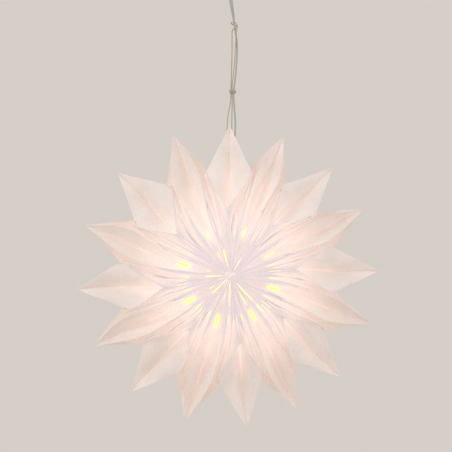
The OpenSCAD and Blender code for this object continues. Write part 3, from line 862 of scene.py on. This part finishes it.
class LANTERN_OT_knots(bpy.types.Operator):
    """Winds the thread knots in the middle of the star, front and back"""

    bl_idname = "lantern.knots"
    bl_label = "Add thread knots"

    def execute(self, context):
        lamp = context.scene.lantern_lamp
        thread = thread_material("thread", lamp.thread, THREAD_DARK, 2.0, lamp.thread_glow)
        for node, side in (("front_knot", -1), ("back_knot", 1)):
            self.knot(context, node, side, thread)
        return {"FINISHED"}

    def knot(self, context, node, side, thread):
        """A ball of thread on the star's face: a core with loops wound round it."""
        low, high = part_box(node)
        face = low[1] if side < 0 else high[1]
        middle = Vector((0, face - side * KNOT_DEPTH, STAR_Z))
        deselect()
        bpy.ops.mesh.primitive_uv_sphere_add(segments=24, ring_count=12, radius=KNOT_CORE,
                                             location=middle)
        core = context.object
        parts = [core]
        for turn, tilt in KNOT_LOOPS:
            deselect()
            bpy.ops.mesh.primitive_torus_add(
                major_segments=36, minor_segments=10, major_radius=KNOT_LOOP, minor_radius=KNOT_STRAND,
                location=middle, rotation=(math.radians(90 + tilt), 0, math.radians(turn)))
            parts.append(context.object)
        deselect()
        for part in parts:
            part.select_set(True)
        context.view_layer.objects.active = core
        bpy.ops.object.join()
        piece = context.object
        bpy.ops.object.transform_apply(location=True, rotation=True, scale=True)
        piece.name = node.replace("knot", "thread_knot")
        bpy.ops.object.shade_smooth()
        finish_piece(piece, thread, node)


class LANTERN_OT_lamp(bpy.types.Operator):
    """Gives the bulb, its holder, its contacts and the ceiling rose their finishes"""

    bl_idname = "lantern.lamp"
    bl_label = "Finish lamp"

    def execute(self, context):
        lamp = context.scene.lantern_lamp
        white = plastic_material("white_plastic", lamp.plastic, 0.42, 900.0)
        brass = brass_material()
        finishes = {"bulb": bulb_material(lamp), "screw_shell": brass, "centre_contact": brass}
        for node in LAMP_NODES + ROSE_NODES:
            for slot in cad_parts[node].material_slots:
                slot.material = finishes.get(node, white)
        return {"FINISHED"}


class LANTERN_OT_stage(bpy.types.Operator):
    """Lays the floor and lights the lantern softly"""

    bl_idname = "lantern.stage"
    bl_label = "Add stage"

    def execute(self, context):
        stage = context.scene.lantern_stage
        self.lay_floor(context, stage)
        self.light_world(context, stage)
        for name, (place, size, share, colour) in LAMPS.items():
            self.area_lamp(context, name, place, size, stage.key_power * share, colour)
        context.scene.view_settings.view_transform = "Standard"
        return {"FINISHED"}

    def lay_floor(self, context, stage):
        deselect()
        bpy.ops.mesh.primitive_plane_add(size=FLOOR_SIZE, location=(0, 0, FLOOR_Z))
        floor = context.object
        floor.name = "floor"
        pale, tree, shader, point = new_material("pale_floor")
        cloud = noise(tree, point, 1.2, 3, 0.5)
        shaded = tuple(part * 0.96 for part in stage.wall)
        base = mixed(tree, cloud, tuple(stage.wall), shaded)
        tree.links.new(base, shader.inputs["Base Color"])
        shader.inputs["Roughness"].default_value = 0.9
        floor.data.materials.append(pale)

    def area_lamp(self, context, name, place, size, power, colour):
        bpy.ops.object.light_add(type="AREA", location=place)
        lamp = context.object
        lamp.name = name
        lamp.data.shape = "DISK"
        lamp.data.size = size
        lamp.data.energy = power
        lamp.data.color = colour
        aim = Vector(MIDDLE) - Vector(place)
        lamp.rotation_euler = aim.to_track_quat("-Z", "Y").to_euler()

    def light_world(self, context, stage):
        """Even daylight on the lantern, and the wall's colour where the world itself is seen."""
        world = bpy.data.worlds.new("soft_room")
        context.scene.world = world
        world.use_nodes = True
        tree = world.node_tree
        tree.nodes.clear()
        rays = tree.nodes.new("ShaderNodeLightPath").outputs
        seen = math_node(tree, "MAXIMUM", rays["Is Camera Ray"], rays["Is Glossy Ray"])
        seen = math_node(tree, "MAXIMUM", seen, rays["Is Transmission Ray"])
        back = tree.nodes.new("ShaderNodeBackground")
        back.inputs["Color"].default_value = (*stage.wall, 1)
        room = tree.nodes.new("ShaderNodeBackground")
        room.inputs["Color"].default_value = (1.0, 0.99, 0.975, 1)
        room.inputs["Strength"].default_value = stage.daylight
        mix = tree.nodes.new("ShaderNodeMixShader")
        end = tree.nodes.new("ShaderNodeOutputWorld")
        tree.links.new(seen, mix.inputs[0])
        tree.links.new(room.outputs[0], mix.inputs[1])
        tree.links.new(back.outputs[0], mix.inputs[2])
        tree.links.new(mix.outputs[0], end.inputs["Surface"])


class LANTERN_PT_panel(bpy.types.Panel):
    """Lists the lantern's pieces and settings"""

    bl_idname = "LANTERN_PT_panel"
    bl_label = "Star lantern"
    bl_space_type = "VIEW_3D"
    bl_region_type = "UI"
    bl_category = "Star lantern"

    def draw(self, context):
        for operator in OPERATORS:
            self.layout.operator(operator.bl_idname)
        for name in SETTINGS:
            group = getattr(context.scene, name)
            box = self.layout.box()
            for setting in group.bl_rna.properties.keys():
                if setting not in ("rna_type", "name"):
                    box.prop(group, setting)


SETTINGS = {"lantern_paper": PaperSettings, "lantern_cords": CordSettings,
            "lantern_lamp": LampSettings, "lantern_stage": StageSettings}
OPERATORS = (LANTERN_OT_camera, LANTERN_OT_cords, LANTERN_OT_paper, LANTERN_OT_knots,
             LANTERN_OT_lamp, LANTERN_OT_stage)
CLASSES = (*SETTINGS.values(), *OPERATORS, LANTERN_PT_panel)


def register():
    for cls in CLASSES:
        bpy.utils.register_class(cls)
    for name, group in SETTINGS.items():
        setattr(bpy.types.Scene, name, bpy.props.PointerProperty(type=group))


def unregister():
    for name in SETTINGS:
        delattr(bpy.types.Scene, name)
    for cls in reversed(CLASSES):
        bpy.utils.unregister_class(cls)


def main():
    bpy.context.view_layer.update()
    register()
    bpy.ops.lantern.camera()
    bpy.ops.lantern.cords()
    bpy.ops.lantern.paper()
    bpy.ops.lantern.knots()
    bpy.ops.lantern.lamp()
    bpy.ops.lantern.stage()


if __name__ == "__main__":
    main()
